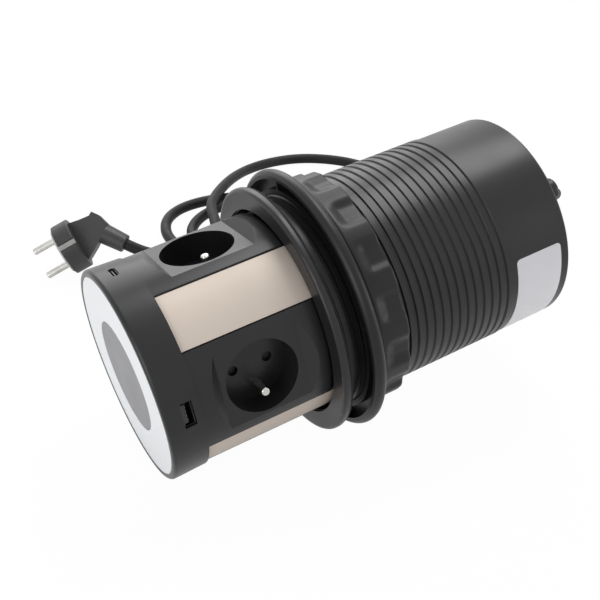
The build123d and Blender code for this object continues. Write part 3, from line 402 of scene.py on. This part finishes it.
slotBoth = screwTree.nodes.new("GeometryNodeJoinGeometry")
slotUp = screwTree.nodes.new("GeometryNodeTransform")
screwCut = screwTree.nodes.new("GeometryNodeMeshBoolean")
screwBoth = screwTree.nodes.new("GeometryNodeJoinGeometry")
screwSpread = screwTree.nodes.new("GeometryNodeInstanceOnPoints")
screwHead.inputs["Vertices"].default_value = bossScrews["headSides"]
screwShank.inputs["Vertices"].default_value = bossScrews["shankSides"]
join(screwTree, screwGiven, "Count", screwSpots, "Vertices")
join(screwTree, screwGiven, "Circle", screwSpots, "Radius")
join(screwTree, screwGiven, "Head Radius", screwHead, "Radius")
join(screwTree, screwGiven, "Head Height", screwHead, "Depth")
join(screwTree, screwGiven, "Head Middle", screwHeadUp, "Translation")
join(screwTree, screwGiven, "Shank Radius", screwShank, "Radius")
join(screwTree, screwGiven, "Shank Length", screwShank, "Depth")
join(screwTree, screwGiven, "Shank Middle", screwShankDown, "Translation")
join(screwTree, screwGiven, "Slot Long", slotLong, "Size")
join(screwTree, screwGiven, "Slot Cross", slotCross, "Size")
join(screwTree, screwGiven, "Slot Top", slotUp, "Translation")
join(screwTree, screwHead, "Mesh", screwHeadUp, "Geometry")
join(screwTree, screwShank, "Mesh", screwShankDown, "Geometry")
join(screwTree, slotLong, "Mesh", slotBoth, "Geometry")
join(screwTree, slotCross, "Mesh", slotBoth, "Geometry")
join(screwTree, slotBoth, "Geometry", slotUp, "Geometry")
join(screwTree, screwHeadUp, "Geometry", screwCut, "Mesh 1")
join(screwTree, slotUp, "Geometry", screwCut, "Mesh 2")
join(screwTree, screwCut, "Mesh", screwBoth, "Geometry")
join(screwTree, screwShankDown, "Geometry", screwBoth, "Geometry")
join(screwTree, screwSpots, "Mesh", screwSpread, "Points")
join(screwTree, screwBoth, "Geometry", screwSpread, "Instance")
closeTree(screwTree, screwGiven, screwSpread.outputs["Instances"], screwOut, finishes["zincSteel"])
bossPieces = growPiece("boss_screws", screwTree, screwSizes, "housing")
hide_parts("base_screws")

# Contact strips on the tongue of the larger port
strips = {"count": 4, "station": 0.01184, "radius": 0.0513, "pitch": 0.0024, "length": 0.0072,
          "width": 0.0011, "thickness": 0.00012}
stripSizes = {
    "Count": strips["count"], "Step": (0.0, strips["pitch"], 0.0),
    "First": (0.0, -strips["pitch"] * (strips["count"] - 1) / 2, 0.0),
    "Strip": (strips["length"], strips["width"], strips["thickness"]),
    "Place": onSpindle(strips["station"], strips["radius"], 0), "Turn": Vector(lyingTurn.to_euler()),
}
stripTree, stripGiven, stripOut = startTree("portStrips", stripSizes)
stripLine = stripTree.nodes.new("GeometryNodeMeshLine")
stripBar = stripTree.nodes.new("GeometryNodeMeshCube")
stripSpread = stripTree.nodes.new("GeometryNodeInstanceOnPoints")
join(stripTree, stripGiven, "Count", stripLine, "Count")
join(stripTree, stripGiven, "First", stripLine, "Start Location")
join(stripTree, stripGiven, "Step", stripLine, "Offset")
join(stripTree, stripGiven, "Strip", stripBar, "Size")
join(stripTree, stripLine, "Mesh", stripSpread, "Points")
join(stripTree, stripBar, "Mesh", stripSpread, "Instance")
closeTree(stripTree, stripGiven, stripSpread.outputs["Instances"], stripOut, finishes["contactBrass"])
growPiece("port_strips", stripTree, stripSizes, "tower")

# Nut under the desk: a rounded ring with soft finger recesses between its lobes
lobedNut = {"lobes": 15, "front": 0.1137, "height": 0.0176, "outer": 0.0647, "bore": 0.0601, "round": 0.0016,
            "depth": 0.0024, "slopeStart": 0.0018, "slopeEnd": 0.0088, "recessEdge": 0.75,
            "recessFloor": -0.85, "cornerSteps": 6, "profileSteps": 72, "ringSteps": 480}
nutSizes = {
    "Lobes": float(lobedNut["lobes"]), "Wall": lobedNut["outer"] - lobedNut["bore"],
    "Height": lobedNut["height"], "Middle": (lobedNut["outer"] + lobedNut["bore"]) / 2,
    "Bore": lobedNut["bore"], "Round": lobedNut["round"], "Depth": lobedNut["depth"],
    "Slope Start": lobedNut["slopeStart"], "Slope End": lobedNut["slopeEnd"],
    "Recess Edge": lobedNut["recessEdge"], "Recess Floor": lobedNut["recessFloor"],
    "Raise": (0.0, 0.0, lobedNut["height"] / 2),
    "Place": onSpindle(lobedNut["front"]), "Turn": Vector(lyingTurn.to_euler()),
}
nutTree, nutGiven, nutOut = startTree("lobedNut", nutSizes)


def softStep(value, start, end):
    node = nutTree.nodes.new("ShaderNodeMapRange")
    node.interpolation_type = "SMOOTHSTEP"
    nutTree.links.new(value, node.inputs["Value"])
    nutTree.links.new(start, node.inputs["From Min"])
    nutTree.links.new(end, node.inputs["From Max"])
    return node.outputs["Result"]


nutProfile = nutTree.nodes.new("GeometryNodeCurvePrimitiveQuadrilateral")
nutCorners = nutTree.nodes.new("GeometryNodeFilletCurve")
nutPoints = nutTree.nodes.new("GeometryNodeResampleCurve")
nutRing = nutTree.nodes.new("GeometryNodeCurvePrimitiveCircle")
nutBody = nutTree.nodes.new("GeometryNodeCurveToMesh")
nutRaise = nutTree.nodes.new("GeometryNodeTransform")
nutShape = nutTree.nodes.new("GeometryNodeSetPosition")
nutSmooth = nutTree.nodes.new("GeometryNodeSetShadeSmooth")
nutPlace = nutTree.nodes.new("GeometryNodeInputPosition")
nutSplit = nutTree.nodes.new("ShaderNodeSeparateXYZ")
nutMove = nutTree.nodes.new("ShaderNodeCombineXYZ")
nutCorners.mode = "POLY"
nutCorners.inputs["Count"].default_value = lobedNut["cornerSteps"]
nutPoints.inputs["Count"].default_value = lobedNut["profileSteps"]
nutRing.inputs["Resolution"].default_value = lobedNut["ringSteps"]
join(nutTree, nutGiven, "Wall", nutProfile, "Width")
join(nutTree, nutGiven, "Height", nutProfile, "Height")
join(nutTree, nutProfile, "Curve", nutCorners, "Curve")
join(nutTree, nutGiven, "Round", nutCorners, "Radius")
join(nutTree, nutCorners, "Curve", nutPoints, "Curve")
join(nutTree, nutGiven, "Middle", nutRing, "Radius")
join(nutTree, nutRing, "Curve", nutBody, "Curve")
join(nutTree, nutPoints, "Curve", nutBody, "Profile Curve")
join(nutTree, nutBody, "Mesh", nutRaise, "Geometry")
join(nutTree, nutGiven, "Raise", nutRaise, "Translation")
join(nutTree, nutRaise, "Geometry", nutShape, "Geometry")
join(nutTree, nutPlace, "Position", nutSplit, "Vector")
across, along, height = nutSplit.outputs
squares = [reckon(nutTree, "MULTIPLY", way, way) for way in (across, along)]
reach = reckon(nutTree, "SQRT", reckon(nutTree, "ADD", *squares))
lobeAngle = reckon(nutTree, "MULTIPLY", reckon(nutTree, "ARCTAN2", along, across), nutGiven.outputs["Lobes"])
wave = reckon(nutTree, "COSINE", lobeAngle)
recess = softStep(wave, nutGiven.outputs["Recess Edge"], nutGiven.outputs["Recess Floor"])
slope = softStep(height, nutGiven.outputs["Slope Start"], nutGiven.outputs["Slope End"])
wallPlace = reckon(nutTree, "SUBTRACT", reach, nutGiven.outputs["Bore"])
outness = reckon(nutTree, "DIVIDE", wallPlace, nutGiven.outputs["Wall"])
hollow = reckon(nutTree, "MULTIPLY", recess, slope)
sink = reckon(nutTree, "MULTIPLY", hollow, reckon(nutTree, "MULTIPLY", outness, nutGiven.outputs["Depth"]))
inward = reckon(nutTree, "DIVIDE", reckon(nutTree, "MULTIPLY", sink, -1.0), reach)
nutTree.links.new(reckon(nutTree, "MULTIPLY", across, inward), nutMove.inputs["X"])
nutTree.links.new(reckon(nutTree, "MULTIPLY", along, inward), nutMove.inputs["Y"])
join(nutTree, nutMove, "Vector", nutShape, "Offset")
join(nutTree, nutShape, "Geometry", nutSmooth, "Geometry")
closeTree(nutTree, nutGiven, nutSmooth.outputs["Geometry"], nutOut, finishes["clampPlastic"])
nutPiece = growPiece("lobed_nut", nutTree, nutSizes, "clamp_nut")
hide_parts("clamp_nut")
print("small pieces made")

# Floor: white to the camera, but for the unit's soft shadow
floor = {"size": 6.0, "white": (246, 246, 246), "roughness": 0.9, "glow": 0.97, "mirrored": 0.6}
bpy.ops.mesh.primitive_plane_add(size=floor["size"])
table = bpy.context.object
table.name = "table_top"
paper, paperTree, paperShader = startMaterial("paperFloor")
paperShader.inputs["Base Color"].default_value = tone(floor["white"])
paperShader.inputs["Roughness"].default_value = floor["roughness"]
paperRays = paperTree.nodes.new("ShaderNodeLightPath")
mirrorShare = reckon(paperTree, "MULTIPLY", paperRays.outputs["Is Glossy Ray"], floor["mirrored"])
seenShare = reckon(paperTree, "MAXIMUM", paperRays.outputs["Is Camera Ray"], mirrorShare)
paperGlow = paperTree.nodes.new("ShaderNodeEmission")
paperMix = paperTree.nodes.new("ShaderNodeMixShader")
paperTree.links.new(reckon(paperTree, "MULTIPLY", seenShare, floor["glow"]), paperMix.inputs[0])
paperTree.links.new(paperShader.outputs[0], paperMix.inputs[1])
paperTree.links.new(paperGlow.outputs[0], paperMix.inputs[2])
paperTree.links.new(paperMix.outputs[0], paperTree.nodes["Material Output"].inputs["Surface"])
table.data.materials.append(paper)

# Room: white where it is seen, plain and soft where it lights
room = {"ambient": 0.4, "seen": 1.0}
world = bpy.data.worlds.new("whiteRoom")
bpy.context.scene.world = world
world.use_nodes = True
worldTree = world.node_tree
ambient = worldTree.nodes["Background"]
ambient.inputs["Strength"].default_value = room["ambient"]
ambient.inputs["Color"].default_value = (1, 1, 1, 1)
backdrop = worldTree.nodes.new("ShaderNodeBackground")
backdrop.inputs["Strength"].default_value = room["seen"]
backdrop.inputs["Color"].default_value = (1, 1, 1, 1)
roomRays = worldTree.nodes.new("ShaderNodeLightPath")
seenRays = [roomRays.outputs[kind] for kind in ("Is Camera Ray", "Is Transmission Ray")]
seenOrClear = reckon(worldTree, "MAXIMUM", *seenRays)
seenOrGloss = reckon(worldTree, "MAXIMUM", seenOrClear, roomRays.outputs["Is Glossy Ray"])
roomMix = worldTree.nodes.new("ShaderNodeMixShader")
worldTree.links.new(seenOrGloss, roomMix.inputs[0])
worldTree.links.new(ambient.outputs[0], roomMix.inputs[1])
worldTree.links.new(backdrop.outputs[0], roomMix.inputs[2])
worldTree.links.new(roomMix.outputs[0], worldTree.nodes["World Output"].inputs["Surface"])

lamps = [
    {"name": "topSoftbox", "place": (0.4, 0.25, 1.2), "aim": (0, 0, 0), "size": 0.65, "power": 7.5},
    {"name": "backSoftbox", "place": (0.2, 1.3, 0.95), "aim": (0, 0, 0.1), "size": 1.1, "power": 8.5},
    {"name": "leftSoftbox", "place": (-1.3, -0.6, 0.35), "aim": (-0.05, 0, 0.05), "size": 0.9, "power": 7},
    {"name": "rightSoftbox", "place": (1.2, -0.7, 0.35), "aim": (-0.05, 0, 0.05), "size": 0.7, "power": 3},
]
for lamp in lamps:
    lampData = bpy.data.lights.new(lamp["name"], "AREA")
    lampData.shape = "SQUARE"
    lampData.size = lamp["size"]
    lampData.energy = lamp["power"]
    lampObject = bpy.data.objects.new(lamp["name"], lampData)
    lampObject.location = lamp["place"]
    away = Vector(lamp["aim"]) - Vector(lamp["place"])
    lampObject.rotation_euler = away.to_track_quat("-Z", "Y").to_euler()
    bpy.context.collection.objects.link(lampObject)
print("room lit")
